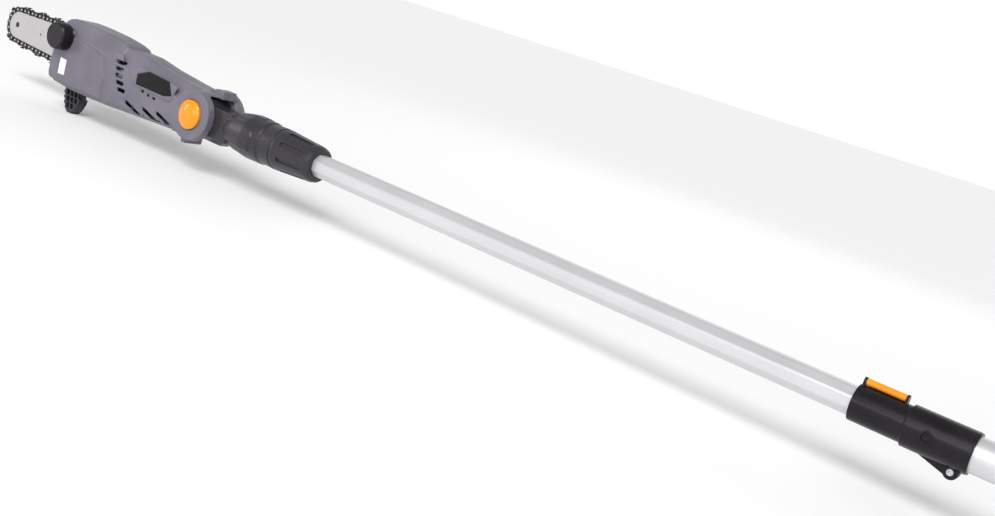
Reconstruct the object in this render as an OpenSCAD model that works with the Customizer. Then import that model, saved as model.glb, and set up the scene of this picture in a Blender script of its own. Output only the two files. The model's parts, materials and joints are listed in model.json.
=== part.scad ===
// Telescoping pole saw: saw head, tilting knuckle, two poles, flip clamp and rear handle.
// The pole runs along X, the oil cap side faces -Y, and the tool lies level on its hook and battery.

/* [Saw head] */
// Reach of the chain nose past the housing front
bar_reach = 192; // [120:1:280]
// Length from the housing front to the tilt axis
head_len = 307; // [290:1:400]
// Half width of the housing
half_w = 32.5; // [31:0.5:40]
// Wall of every moulded shell
shell_wall = 3; // [2:0.25:4]
// Width of the guide bar at its root
bar_root_w = 52; // [44:0.2:56]
// Radius of the guide bar nose
bar_nose_r = 19.8; // [14:0.2:22]
// Thickness of the guide bar
bar_t = 4; // [3.2:0.1:5]
// Distance of the bar from the middle plane
bar_y = 13; // [12.5:0.5:15]
// Diameter of the oil cap
cap_d = 38.5; // [30:1:42]

/* [Knuckle and connector] */
// Diameter of the knuckle cheeks
knuckle_d = 68; // [64:1:78]
// Diameter of the tilt button
button_d = 39; // [34:1:48]
// Depth that the tilt button is pressed
button_stroke = 5; // [3:0.5:6]
// Width of the tongue between the cheeks
tongue_w = 35; // [30:0.5:40]
// Distance from the tilt axis to the mouth of the collar nut
neck_len = 209; // [180:1:260]
// Outer radius of the connector
connector_r = 29; // [28:0.5:34]

/* [Poles] */
// Upper pole length that shows when it is drawn out fully
pole_reach = 712; // [500:1:900]
// How far the upper pole slides in
travel = 680; // [400:1:690]
// Upper pole, size across its flats
upper_flats = 28; // [24:0.5:29]
// Upper pole wall
upper_wall = 1.5; // [1:0.1:2.5]
// Lower pole outside diameter
lower_d = 35; // [34.5:0.5:42]
// Lower pole wall
lower_wall = 1.5; // [1:0.1:1.6]
// Upper pole length kept inside the lower pole
overlap = 68; // [60:1:120]

/* [Clamp] */
// Length of the narrow part of the clamp
clamp_neck = 51; // [45:1:70]
// Length of the wide part of the clamp
clamp_len = 63.5; // [50:1:80]
// Wall of the clamp
clamp_wall = 3; // [2.6:0.1:5]

/* [Rear handle] */
// Length of the handle housing
handle_len = 204; // [200:1:260]
// Half width of the hand grip
grip_half_w = 19; // [16:0.5:24]
// Length of the foam sleeve
foam_len = 170; // [100:1:260]
// Thickness of the foam sleeve
foam_t = 5.5; // [3:0.5:10]
// Battery pack width
pack_w = 74; // [64:1:90]
// Battery pack depth along the pole
pack_d = 49; // [40:0.5:70]
// Height of the pole axis over the rest surface
axis_h = 75; // [70:1:80]

/* [Hidden] */
$fn = 64;

// Running gap and small assembly gap
run_gap = 0.3;
fit_gap = 0.05;

// Stations along the pole, from the mouth of the collar nut
pivot_x = -neck_len;
front_x = pivot_x - head_len;
stretch = head_len / 307;
clamp_x = pole_reach;
step_x = clamp_x + clamp_neck;
clamp_end_x = step_x + clamp_len;
lower_x = step_x + 3;
upper_end_x = lower_x + overlap;
upper_start_x = -128;
lower_end_x = upper_end_x + travel + 6;
handle_x = lower_end_x - 78;
handle_end_x = handle_x + handle_len;
pack_x = handle_end_x + 0.4;
rear_x = pack_x + pack_d;
nose_x = front_x - bar_reach;
nose_gap = 3.15;
shift_x = -(nose_x + nose_gap + rear_x) / 2;

// Chain and bar layout in the bar plane
bar_z = 9.4;
rivet_h = 3.9;
cutter_h = 7.4;
guard_h = 5.8;
nose_r = bar_nose_r + rivet_h;
nose_cx = nose_x + nose_r + cutter_h;
knee_x = front_x + 5;
knee_z = bar_root_w / 2 + rivet_h;
sprocket_x = front_x + 76;
wrap_r = 19;
split_x = front_x + 112;

function unit(v) = v / norm(v);
function inset(p, d) = let (n = len(p)) [for (i = [0 : n - 1])
  let (u = unit(p[i] - p[(i + n - 1) % n]), v = unit(p[(i + 1) % n] - p[i]),
    a = [-u[1], u[0]], b = [-v[1], v[0]]) p[i] + d * (a + b) / (1 + a * b)];

// Half of the chain path: nose arc, upper run, slope to the sprocket, sprocket arc
run_in = [knee_x - nose_cx, knee_z];
ang_in = atan2(run_in[1], run_in[0]) + acos(nose_r / norm(run_in));
touch_in = [nose_cx + nose_r * cos(ang_in), nose_r * sin(ang_in)];
knee = [knee_x, knee_z];
run_out = [knee_x - sprocket_x, knee_z];
ang_out = atan2(run_out[1], run_out[0]) - acos(wrap_r / norm(run_out));
touch_out = [sprocket_x + wrap_r * cos(ang_out), wrap_r * sin(ang_out)];
len_a = nose_r * (180 - ang_in) * PI / 180;
len_b = norm(knee - touch_in);
len_c = norm(touch_out - knee);
len_d = wrap_r * ang_out * PI / 180;
half_path = len_a + len_b + len_c + len_d;
link_pairs = round(2 * half_path / 19.05);
pitch = half_path / link_pairs;
function along(a, b, t) = a + unit(b - a) * t;
function half_at(s) =
  s < len_a ? let (t = 180 - s / nose_r * 180 / PI) [nose_cx + nose_r * cos(t), nose_r * sin(t)] :
  s < len_a + len_b ? along(touch_in, knee, s - len_a) :
  s < len_a + len_b + len_c ? along(knee, touch_out, s - len_a - len_b) :
  let (t = ang_out - (s - len_a - len_b - len_c) / wrap_r * 180 / PI)
    [sprocket_x + wrap_r * cos(t), wrap_r * sin(t)];
function path_at(s) = s < half_path ? half_at(s) :
  let (q = half_at(2 * half_path - s)) [q[0], -q[1]];
function rivet_at(i) = path_at((i % (2 * link_pairs)) * pitch) + [0, bar_z];

// Outline of the housing seen from the side
function hx(t) = front_x + t * stretch;
side_line = [[hx(0), -33], [hx(4), -37.6], [hx(35), -39.5], [hx(90), -40], [hx(140), -38], [hx(262), -31],
  [pivot_x - 25, -30], [pivot_x, -29], [pivot_x, 34], [hx(262), 36.4], [hx(210), 41],
  [hx(172), 46.8], [hx(142), 46.8], [hx(136), 50.4], [hx(128), 52.6], [hx(114), 54.6], [hx(92), 56.6],
  [hx(44), 58.2], [hx(14), 57.6], [hx(4), 54.6], [hx(0), 49]];
top_cut_w = 14;
top_cut_h = 25;

// Gear train
gear_y = -9;
gear_module = 1.6;
pinion_teeth = 8;
gear_teeth = 24;
pinion_r = gear_module * pinion_teeth / 2;
gear_r = gear_module * gear_teeth / 2;
motor_x = front_x + 120;
motor_len = 60;
motor_r = 20;
tension_y = 22;
tension_z = -6;
cap_x = front_x + 21;
cap_z = 30;
stud_x = front_x + 26;

// Knuckle
cheek_r = knuckle_d / 2;
cheek_y = half_w + 2.5;
far_r = cheek_r + 3.5;
tongue_y1 = 12.7;
tongue_y0 = tongue_y1 - tongue_w;
far_y = tongue_y1 + 16;
tongue_r = cheek_r - 5;
sleeve_r = 7;
gear_lock_r = 15;

// Poles
corner_r = upper_flats * 0.527;
lower_r = lower_d / 2;
neck_r = corner_r + clamp_wall + 0.5;
wide_r = lower_r + clamp_wall;
pin_z = neck_r + 4;
ear_t = 2.1;
ear_r = 4;
ear_x0 = clamp_x + 1.6;
ear_x1 = step_x - 8;
lug_x = clamp_end_x - 13;
lug_z = -wide_r - 2.2;
lug_r = 7.3;
set_x = step_x + 23.5;

// Colours
grey = [0.46, 0.45, 0.49];
dark = [0.16, 0.16, 0.17];
black = [0.07, 0.07, 0.08];
orange = [0.96, 0.55, 0.08];
silver = [0.8, 0.81, 0.82];
steel = [0.62, 0.62, 0.64];

module place() {
  translate([shift_x, 0, axis_h]) children();
}

// Side profile stretched between two planes across the tool
module slab(y0, y1) {
  translate([0, y1, 0]) rotate([90, 0, 0]) linear_extrude(height = y1 - y0) children();
}

module rod_y(x, z, r, y0, y1) {
  translate([x, y1, z]) rotate([90, 0, 0]) cylinder(r = r, h = y1 - y0);
}

module rod_x(x0, x1, r, y = 0, z = 0) {
  translate([x0, y, z]) rotate([0, 90, 0]) cylinder(r = r, h = x1 - x0);
}

module turned_x() {
  rotate([0, 90, 0]) rotate([0, 0, 90]) rotate_extrude() children();
}

module box(x0, x1, y0, y1, z0, z1) {
  translate([x0, y0, z0]) cube([x1 - x0, y1 - y0, z1 - z0]);
}

// Eight sided pole bar with rounded corners
module octagon_x(x0, x1, flats, corner) {
  intersection() {
    translate([x0, 0, 0]) rotate([0, 90, 0]) rotate([0, 0, 22.5])
      cylinder(r = flats / 2 / cos(22.5), h = x1 - x0, $fn = 8);
    rod_x(x0 - 1, x1 + 1, corner);
  }
}

// Sloping upper edge of the housing, cut away by a long wedge
module edge_wedge(x0, x1, z0, tilt, side, in) {
  a = [half_w, -top_cut_h];
  b = [half_w - top_cut_w, 0];
  n = unit([top_cut_h, top_cut_w]);
  p = a - n * in + (a - b) * 0.9;
  q = b - n * in + (b - a) * 0.9;
  r = (p + q) / 2 + n * 40;
  translate([x0, 0, z0]) rotate([0, tilt, 0]) mirror([0, side < 0 ? 1 : 0, 0])
    rotate([90, 0, 90]) linear_extrude(height = x1 - x0) polygon([p, q, r]);
}

// Lower edge of the housing, bevelled along the bottom line
module low_wedge(x0, x1, z0, tilt, side) {
  translate([x0, 0, z0]) rotate([0, tilt, 0]) mirror([0, side < 0 ? 1 : 0, 0])
    rotate([90, 0, 90]) linear_extrude(height = x1 - x0)
      polygon([[half_w + 3, 11.5], [half_w - 9, -2.5], [half_w + 3, -8]]);
}

module low_wedges() {
  for (side = [-1, 1]) {
    low_wedge(hx(0) - 3, hx(35), -36, 5.7, side);
    low_wedge(hx(33), hx(140), -39.7, 0, side);
    low_wedge(hx(139), pivot_x - 30, -38.4, -3.6, side);
  }
}

module head_form(in, w) {
  difference() {
    slab(-w, w) polygon(inset(side_line, in));
    for (side = [-1, 1]) {
      edge_wedge(front_x - 5, hx(80), 58.2, 0, side, in);
      edge_wedge(hx(80), hx(140), 58.2, 6, side, in);
      edge_wedge(hx(139) - in / 2, pivot_x + 10, 48, 5, side, in);
    }
  }
}

// Raised side face of the front part, and its sloping joint line
function front_face(z_low) = [[hx(0), z_low + 8], [hx(2.4), z_low + 2], [hx(7), z_low],
  [hx(35), z_low - 1], [hx(124), z_low], [hx(120), -2], [hx(105), 24], [hx(92), 29], [hx(48), 33], [hx(0), 33]];
vent_band = [[hx(163), -20], [hx(178), -15], [hx(149), 40], [hx(126), 36]];
vent_rows = [[149, 27], [151, 18], [152, 9], [157, 0], [163, -9]];
long_slots = [[189.5, -25, 33], [225, -23.5, 30], [253.5, -21, 29]];
small_slots = [[203, 2], [216, 0], [228, -1]];
screw_spots = [[hx(130), -28, 0], [hx(186), -24, 0], [hx(246), -17, 0], [hx(128), 42, 10],
  [hx(191), 34, 10], [hx(244), 25, 8]];

module slot(x, z, w, h, turn) {
  translate([x, 0, z]) rotate([0, turn, 0]) translate([-w / 2, -60, -h / 2]) cube([w, 120, h]);
}

module vent_cuts() {
  for (v = vent_rows) slot(hx(v[0]) - 2.5, v[1], 17.5, 4.9, 0);
  for (v = long_slots) slot(hx(v[0]), v[1], v[2], 4.4, 16);
  for (v = small_slots) slot(hx(v[0]), v[1], 6, 3.4, 0);
}

// Everything that the two rear halves of the housing share
module housing_body() {
  // Stop web under the knuckle
  box(pivot_x - 10, pivot_x - 1.5, -cheek_y + 4, -0.5, -cheek_r - 5.4, -cheek_r + 3.4);
  difference() {
    union() {
      difference() {
        head_form(0, half_w);
        low_wedges();
        intersection() {
          head_form(shell_wall + 1, half_w - shell_wall);
          box(front_x - 5, pivot_x - cheek_r - 8, -60, 60, -60, 90);
        }
      }
      rod_y(pivot_x, 0, cheek_r, -cheek_y, 0);
      rod_y(pivot_x, 0, far_r, 0, far_y);
      // Block over the knuckle
      box(pivot_x + 9, pivot_x + 26, -11, 12, cheek_r - 6, cheek_r + 7.5);
      for (s = screw_spots) intersection() {
        rod_y(s[0], s[1], 4.2, -half_w + 1, half_w - 1);
        head_form(0, half_w);
      }
    }
    // The far cheek is flat underneath
    box(pivot_x - 60, pivot_x + 60, 0, 60, -80, -cheek_r + 0.5);
    // Slot for the tongue
    rod_y(pivot_x, 0, tongue_r + 1, tongue_y0 - run_gap, tongue_y1 + run_gap);
    box(pivot_x, pivot_x + 60, tongue_y0 - run_gap, tongue_y1 + run_gap, -60, tongue_r + 1);
    box(pivot_x - 27, pivot_x + 60, tongue_y0 - run_gap, tongue_y1 + run_gap, -60, -12);
    box(hx(256), pivot_x + 60, far_y, 60, -80, 90);
    rod_y(pivot_x, 0, sleeve_r + fit_gap, -60, 60);
    for (s = screw_spots) rod_y(s[0], s[1], 2.05, -22, 60);
  }
}

module head_shell_near() {
  color(grey) place() difference() {
    union() {
      intersection() {
        housing_body();
        union() {
          box(split_x, pivot_x + 60, -60, -0.05, -80, 90);
          box(front_x - 5, split_x, -60, 6.9, -80, 90);
        }
      }
      slab(-half_w - 2.5, -half_w + 0.5) polygon(front_face(-33));
      slab(-half_w - 1, -half_w + 0.5) polygon(vent_band);
      // Label recess frame
      slab(-half_w - 1.9, -half_w + 0.5)
        polygon([[hx(168), 22], [hx(182), 6], [hx(262), 4], [hx(272), 28], [hx(190), 33]]);
    }
    vent_cuts();
    slab(-half_w - 3, -half_w + 0.2) polygon(plate_line(0.5));
    rod_y(cap_x, cap_z, 13.2, -60, -20);
    slab(-60, -half_w + 4) polygon(window_line(0.1));
    button_well();
  }
}

module head_shell_far() {
  color(grey) place() difference() {
    union() {
      intersection() {
        housing_body();
        box(split_x + 0.2, pivot_x + 60, 0.05, 60, -80, 90);
      }
      slab(half_w - 0.5, half_w + 1) polygon(vent_band);
    }
    vent_cuts();
    for (s = screw_spots) rod_y(s[0], s[1], 4.1, half_w - 5 - s[2], 60);
    // Edge of the cover side
    box(front_x, split_x + 0.2, -1, 60, -80, 90);
    rod_y(pivot_x, 0, 12, far_y - 4, 60);
  }
}

// Round well for the tilt button in the near cheek
module button_well() {
  rod_y(pivot_x, 0, button_d / 2 + run_gap, -cheek_y - 5, -cheek_y + 8);
  rod_y(pivot_x, 0, gear_lock_r + run_gap, -cheek_y + 4, tongue_y0 + 1);
}

function plate_line(g) = [[hx(188) - g, 8 - g], [hx(247) + g, 8 - g], [hx(263) + g, 12],
  [hx(252) + g, 29 + g], [hx(210), 31 + g], [hx(187) - g, 22]];
function window_line(g) = [[hx(22) - g, -23 - g], [hx(36) + g, -22 - g], [hx(35) + g, -0.5 + g],
  [hx(21) - g, 0.5 + g]];

module sprocket_cover() {
  color(grey) place() difference() {
    union() {
      intersection() {
        difference() {
          head_form(0, half_w);
          low_wedges();
          head_form(shell_wall + 1, half_w - shell_wall);
        }
        box(front_x - 5, split_x - 0.2, 7.1, 60, -80, 90);
      }
      slab(half_w - 0.5, half_w + 2) intersection() {
        polygon(front_face(-33));
        translate([front_x - 5, -80]) square([116.8, 170]);
      }
      // Solid wall beside the rear of the cover and the boss under the knob
      intersection() {
        head_form(0, half_w);
        box(split_x - 3.2, split_x - 0.2, 18, 60, -80, 90);
      }
      rod_y(stud_x, bar_z, 11, 16.6, half_w);
    }
    // Way out for bar and chain
    box(front_x - 6, front_x + 14, 0, 18.5, bar_z - 38, bar_z + 39);
    rod_y(stud_x, bar_z, 4.4, 0, 60);
    rod_x(front_x - 5, front_x + 10, 2.2, tension_y, tension_z);
  }
}

module bar_mount_plate() {
  color(silver) place() difference() {
    intersection() {
      head_form(shell_wall + 1.2, half_w - shell_wall - 0.2);
      box(front_x - 5, split_x - 2, 3, 6.9, -80, 90);
    }
    rod_y(sprocket_x, bar_z, 9 + fit_gap, -10, 20);
    rod_y(stud_x, bar_z, 4 + fit_gap, -10, 20);
  }
}

// Spiked bumper with open pockets, which also holds the head off the ground
module branch_hook() {
  x = front_x;
  y0 = -14;
  y1 = 1;
  color(dark) place() difference() {
    slab(y0, y1) polygon([[x + 17, -38.6], [x + 19.5, -45], [x + 17, -48], [x + 21.5, -52],
      [x + 19, -55], [x + 23.5, -59], [x + 21.5, -62], [x + 26, -66], [x + 27, -70], [x + 34, -axis_h],
      [x + 43, -axis_h], [x + 49, -69], [x + 55, -58], [x + 58, -42],
      [x + 58, -39.8], [x + 35, -39.55]]);
    for (r = [0 : 2]) for (i = [0 : 3 - r]) for (side = [0, 1])
      translate([0, side > 0 ? y1 - 5 : y0 - 1, 0])
        slab(0, 6) polygon(pocket(x + 24 + r * 2.6 + i * 9, -50.6 - r * 9));
  }
}

function pocket(x, z) = [[x + 0.8, z], [x + 8, z], [x + 7.2, z + 7.4], [x, z + 7.4]];

// Bar outline, drawn in by a given amount
module bar_outline(in, y0, y1) {
  r = bar_nose_r - in;
  k = [knee_x, bar_root_w / 2 - in];
  v = k - [nose_cx, 0];
  t = atan2(v[1], v[0]) + acos(r / norm(v));
  a = [nose_cx + r * cos(t), r * sin(t)];
  b = [sprocket_x - 21 - in * 0.4, bar_root_w / 2 - 8.6 - in];
  c = [sprocket_x - 17 - in * 0.8, bar_root_w / 2 - 13 - in];
  translate([0, 0, bar_z]) {
    slab(y0, y1) polygon([a, k, b, c, [c[0], -c[1]], [b[0], -b[1]], [k[0], -k[1]], [a[0], -a[1]]]);
    rod_y(nose_cx, 0, r, y0, y1);
  }
}

module guide_bar() {
  color([0.72, 0.72, 0.7]) place() difference() {
    bar_outline(0, bar_y - bar_t / 2, bar_y + bar_t / 2);
    difference() {
      bar_outline(-5, bar_y - 0.85, bar_y + 0.85);
      bar_outline(6.6, bar_y - 1, bar_y + 1);
    }
    rod_y(nose_cx, bar_z, 4 + fit_gap, 0, 30);
    rod_y(nose_cx + 60.5, bar_z, 2, 0, 30);
    // Stud slot, tension hole and oil hole
    box(stud_x - 10, stud_x + 16, 0, 30, bar_z - 4.15, bar_z + 4.15);
    rod_y(stud_x - 10, bar_z, 4.15, 0, 30);
    rod_y(stud_x + 16, bar_z, 4.15, 0, 30);
    rod_y(front_x + 51, bar_z - 10, 2.6, 0, 30);
    rod_y(stud_x + 6, bar_z + 12, 1.2, 0, 30);
  }
}

module bar_nose_rivets() {
  color(steel) place() rod_y(nose_cx, bar_z, 4, bar_y - bar_t / 2 - 0.3, bar_y + bar_t / 2 + 0.3);
}

// Places a child on the link between two neighbouring chain rivets
module on_link(i) {
  a = rivet_at(i);
  b = rivet_at(i + 1);
  m = (a + b) / 2;
  translate([m[0], bar_y, m[1]]) rotate([0, -atan2(b[1] - a[1], b[0] - a[0]), 0]) children();
}

module link_holes() {
  for (s = [-1, 1]) rod_y(s * pitch / 2, 0, 1.5 + fit_gap, -6, 6);
}

module chain_drive_links() {
  color([0.2, 0.2, 0.21]) place() for (k = [0 : link_pairs - 1]) on_link(2 * k) difference() {
    slab(-0.6, 0.6) polygon([[-7, -1.6], [-3.4, -4], [-2.6, -8.6], [1.2, -8.6], [3.8, -4.2],
      [7, -1.6], [6.4, 2], [3.6, guard_h], [0.6, guard_h - 0.6], [-5, 3.2], [-7, 1.6]]);
    link_holes();
  }
}

module strap(y0, y1) {
  difference() {
    slab(y0, y1) polygon([[-7, -1.8], [-5.4, -3.15], [5.4, -3.15], [7, -1.8], [7, 2.6], [5.4, 4.2],
      [0, 3.4], [-5.4, 4.2], [-7, 2.6]]);
    link_holes();
  }
}

module chain_tie_straps() {
  color([0.18, 0.18, 0.19]) place() for (k = [0 : link_pairs - 1]) on_link(2 * k + 1) {
    if (k % 4 != 0) strap(0.65, 1.75);
    if (k % 4 != 2) strap(-1.75, -0.65);
  }
}

// Left and right cutters: side plate, overhanging top plate and depth gauge
module cutter(side) {
  difference() {
    union() {
      slab(side > 0 ? 0.65 : -1.75, side > 0 ? 1.75 : -0.65) polygon([[-7, -1.8], [-5.4, -3.15],
        [5.4, -3.15], [7, -1.8], [7, 3.4], [6.2, 7.4], [0.6, 7], [-0.4, 3.2], [-2.4, 3.2], [-3, 6.4],
        [-5.6, 6.6], [-7, 3]]);
      slab(side > 0 ? -1.6 : -1.75, side > 0 ? 1.75 : 1.6)
        polygon([[0.8, 5.9], [6.6, 6.1], [6.2, 7.4], [0.6, 7]]);
    }
    link_holes();
  }
}

module chain_cutters() {
  color([0.3, 0.3, 0.31]) place() for (k = [0 : link_pairs - 1]) on_link(2 * k + 1) {
    if (k % 4 == 0) cutter(1);
    if (k % 4 == 2) cutter(-1);
  }
}

module chain_rivets() {
  color(steel) place() for (i = [0 : 2 * link_pairs - 1])
    translate([rivet_at(i)[0], bar_y + 1.9, rivet_at(i)[1]]) rotate([90, 0, 0])
      cylinder(r = 1.5, h = 3.8, $fn = 24);
}

module oil_tank() {
  y0 = -half_w + shell_wall + 0.4;
  color([0.85, 0.86, 0.82]) place() difference() {
    union() {
      intersection() {
        head_form(shell_wall + 1.4, half_w - shell_wall - 0.4);
        box(front_x, front_x + 44, y0, 1.5, -31, 90);
      }
      rod_y(cap_x, cap_z, 12.6, -half_w - 8, y0 + 1);
    }
    intersection() {
      head_form(shell_wall + 3.4, half_w - shell_wall - 2.4);
      box(front_x, front_x + 42, y0 + 2, -0.5, -29, 90);
    }
    rod_y(cap_x, cap_z, 10.4, -half_w - 20, y0 + 6);
    rod_y(stud_x, bar_z, 10, -1.5, 5);
  }
}

module oil_window() {
  color([0.93, 0.94, 0.92]) place()
    slab(-half_w - 2.3, -half_w + shell_wall + 0.2) polygon(window_line(0));
}

module oil_cap() {
  r = cap_d / 2;
  y0 = -half_w - 2.8;
  color(black) place() difference() {
    union() {
      rod_y(cap_x, cap_z, r, y0 - 15.8, y0);
      translate([cap_x, y0 - 15.8, cap_z]) rotate([90, 0, 0]) cylinder(r1 = r, r2 = r - 1.8, h = 2.2);
    }
    rod_y(cap_x, cap_z, 12.6 + run_gap, y0 - 9, y0 + 1);
    for (i = [0 : 29]) rotate_at(i * 12) rod_y(r + 0.4, 0, 1.1, y0 - 14, y0 - 2.4);
  }
}

module rotate_at(a) {
  translate([cap_x, 0, cap_z]) rotate([0, a, 0]) children();
}

module oil_cap_seal() {
  color(black) place() difference() {
    rod_y(cap_x, cap_z, 12.5, -half_w - 11.75, -half_w - 8.1);
    rod_y(cap_x, cap_z, 9.4, -half_w - 15, -half_w - 5);
  }
}

module bar_stud() {
  color(steel) place() union() {
    rod_y(stud_x, bar_z, 4, 2.4, half_w + 14);
    translate([stud_x, 2.7, bar_z]) rotate([90, 0, 0]) cylinder(r = 9, h = 3, $fn = 6);
  }
}

module cover_knob() {
  y0 = half_w + 2.3;
  color(black) place() difference() {
    union() {
      rod_y(stud_x, bar_z, 13, y0, y0 + 6);
      rod_y(stud_x, bar_z, 21, y0 + 2.5, y0 + 16.1);
      translate([stud_x, y0 + 16.1, bar_z]) rotate([-90, 0, 0]) cylinder(r1 = 21, r2 = 18.6, h = 2.4);
    }
    rod_y(stud_x, bar_z, 4 + run_gap, y0 - 1, y0 + 15);
    for (i = [0 : 8]) translate([stud_x, 0, bar_z]) rotate([0, i * 40, 0])
      rod_y(24.5, 0, 6, y0 + 2, y0 + 30);
    // Finger bow slots on the face
    for (s = [-1, 1]) slab(y0 + 16, y0 + 30) polygon([[stud_x - 12, bar_z + s * 4],
      [stud_x + 12, bar_z + s * 4], [stud_x + 7, bar_z + s * 12], [stud_x - 7, bar_z + s * 12]]);
  }
}

module tension_screw() {
  color(steel) place() difference() {
    union() {
      rod_x(front_x - 2.4, front_x - 0.4, 3.6, tension_y, tension_z);
      rod_x(front_x - 0.5, front_x + 60, 1.9, tension_y, tension_z);
      rod_x(front_x + 4.4, front_x + 6.4, 3.4, tension_y, tension_z);
    }
    box(front_x - 3, front_x - 1.4, tension_y - 5, tension_y + 5, tension_z - 0.5, tension_z + 0.5);
  }
}

// Sliding block whose pin moves the bar
module tension_block() {
  x = front_x + 51;
  color(steel) place() difference() {
    union() {
      box(x - 5, x + 5, 17, 27, tension_z - 3.5, bar_z - 6);
      rod_y(x, bar_z - 10, 2.4, bar_y - 2.4, 17.5);
    }
    rod_x(x - 10, x + 10, 1.9 + run_gap, tension_y, tension_z);
  }
}

module shaft_bearing() {
  color(steel) place() difference() {
    rod_y(sprocket_x, bar_z, 9, 3, 8.2);
    rod_y(sprocket_x, bar_z, 4 + fit_gap, 0, 10);
  }
}

module sprocket_shaft() {
  color(steel) place() union() {
    rod_y(sprocket_x, bar_z, 4, -6, bar_y + 6);
    rod_y(sprocket_x, bar_z, 5.4, bar_y + 5, bar_y + 7);
  }
}

// Two toothed rims with a groove between them for the drive link tangs
module chain_sprocket() {
  color(steel) place() difference() {
    union() {
      rod_y(sprocket_x, bar_z, 9.2, bar_y - 4, bar_y + 4.6);
      for (s = [-1, 1]) rod_y(sprocket_x, bar_z, 14.6, bar_y + s * 2 - 1.05, bar_y + s * 2 + 1.05);
    }
    rod_y(sprocket_x, bar_z, 4 + fit_gap, 0, 30);
    for (i = [0 : 6]) translate([sprocket_x, 0, bar_z]) rotate([0, i * 360 / 7, 0])
      rod_y(15.2, 0, 3, 0, 30);
  }
}

// Crown gear: teeth stand on its near face
module face_gear() {
  y_root = gear_y + pinion_r + gear_module - 0.1;
  color(steel) place() difference() {
    union() {
      rod_y(sprocket_x, bar_z, gear_r + 3, y_root, y_root + 3.2);
      for (i = [0 : gear_teeth - 1]) translate([sprocket_x, y_root + 0.1, bar_z])
        rotate([0, i * 360 / gear_teeth, 0]) rotate([0, 0, -90]) rotate([90, 0, 0])
          translate([0, 0, -gear_r - 1.7]) mirror([1, 0, 0]) linear_extrude(height = 3.4)
            polygon([[-0.1, -1.05], [-0.1, 1.05], [-gear_module * 1.75, 0.6], [-gear_module * 1.75, -0.6]]);
    }
    rod_y(sprocket_x, bar_z, 4 + fit_gap, -20, 20);
  }
}

module motor_pinion() {
  tooth = 360 / pinion_teeth;
  color([0.75, 0.62, 0.3]) place() difference() {
    translate([sprocket_x + gear_r - 2.4, gear_y, bar_z]) union() {
      rotate([0, 90, 0]) cylinder(r = pinion_r - gear_module - 0.1, h = 4.8);
      for (i = [0 : pinion_teeth - 1]) rotate([(i + 0.5) * tooth, 0, 0])
        rotate([0, 90, 0]) rotate([0, 0, 90]) linear_extrude(height = 4.8)
          polygon([[4, -1.1], [pinion_r, -0.95], [pinion_r + 1.2, -0.5], [pinion_r + 1.2, 0.5],
            [pinion_r, 0.95], [4, 1.1]]);
    }
    rod_x(sprocket_x, motor_x, 2.5 + fit_gap, gear_y, bar_z);
  }
}

module motor_can() {
  color([0.35, 0.35, 0.37]) place() difference() {
    union() {
      rod_x(motor_x, motor_x + motor_len, motor_r, gear_y, bar_z);
      rod_x(motor_x - 4, motor_x + 1, 7, gear_y, bar_z);
      rod_x(motor_x + motor_len - 1, motor_x + motor_len + 5, 6, gear_y, bar_z);
    }
    rod_x(motor_x + 3, motor_x + motor_len - 3, motor_r - 1.5, gear_y, bar_z);
    rod_x(motor_x - 10, motor_x + motor_len + 2, 2.5 + fit_gap, gear_y, bar_z);
    for (i = [0 : 5]) translate([0, gear_y, bar_z]) rotate([i * 60 + 15, 0, 0])
      box(motor_x + 8, motor_x + 20, -3, 3, 10, 30);
  }
}

module motor_shaft() {
  color(steel) place() union() {
    rod_x(sprocket_x + gear_r - 3, motor_x + motor_len, 2.5, gear_y, bar_z);
    rod_x(motor_x + 12, motor_x + motor_len - 14, motor_r - 5, gear_y, bar_z);
    rod_x(motor_x + motor_len - 12, motor_x + motor_len - 5, 8, gear_y, bar_z);
  }
}

module name_plate() {
  color(black) place() slab(-half_w - 0.9, -half_w + 0.15) polygon(plate_line(0));
}

module head_screws() {
  color(steel) place() for (s = screw_spots) union() {
    rod_y(s[0], s[1], 2, -21, half_w - 4.9 - s[2]);
    difference() {
      rod_y(s[0], s[1], 3.7, half_w - 4.95 - s[2], half_w - 2.6 - s[2]);
      translate([s[0], half_w - 1.5 - s[2], s[1]]) rotate([90, 0, 0]) cylinder(r = 1.7, h = 2, $fn = 6);
    }
  }
}

module tilt_sleeve() {
  color(steel) place() difference() {
    union() {
      rod_y(pivot_x, 0, sleeve_r, -16.7, far_y - 3);
      rod_y(pivot_x, 0, 11.6, far_y - 3.9, far_y - 1.2);
    }
    rod_y(pivot_x, 0, 3.2, -60, far_y - 12);
    translate([pivot_x, far_y, 0]) rotate([90, 0, 0]) cylinder(r = 3.5, h = 5, $fn = 6);
  }
}

// Domed button, its skirt and its stem
module tilt_button() {
  r = button_d / 2;
  rise = 6.6;
  face = -cheek_y - 9 + rise;
  bulge = (r * r + rise * rise) / (2 * rise);
  color(orange) place() union() {
    rod_y(pivot_x, 0, r, face, -cheek_y + 7 - button_stroke);
    intersection() {
      translate([pivot_x, face - rise + bulge, 0]) rotate([90, 0, 0])
        rotate_extrude() intersection() {
          circle(r = bulge);
          translate([0, -bulge]) square([bulge, 2 * bulge]);
        }
      rod_y(pivot_x, 0, r, face - 8, face + 0.5);
    }
    rod_y(pivot_x, 0, 2.9, -cheek_y + 1, -11.7);
  }
}

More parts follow.
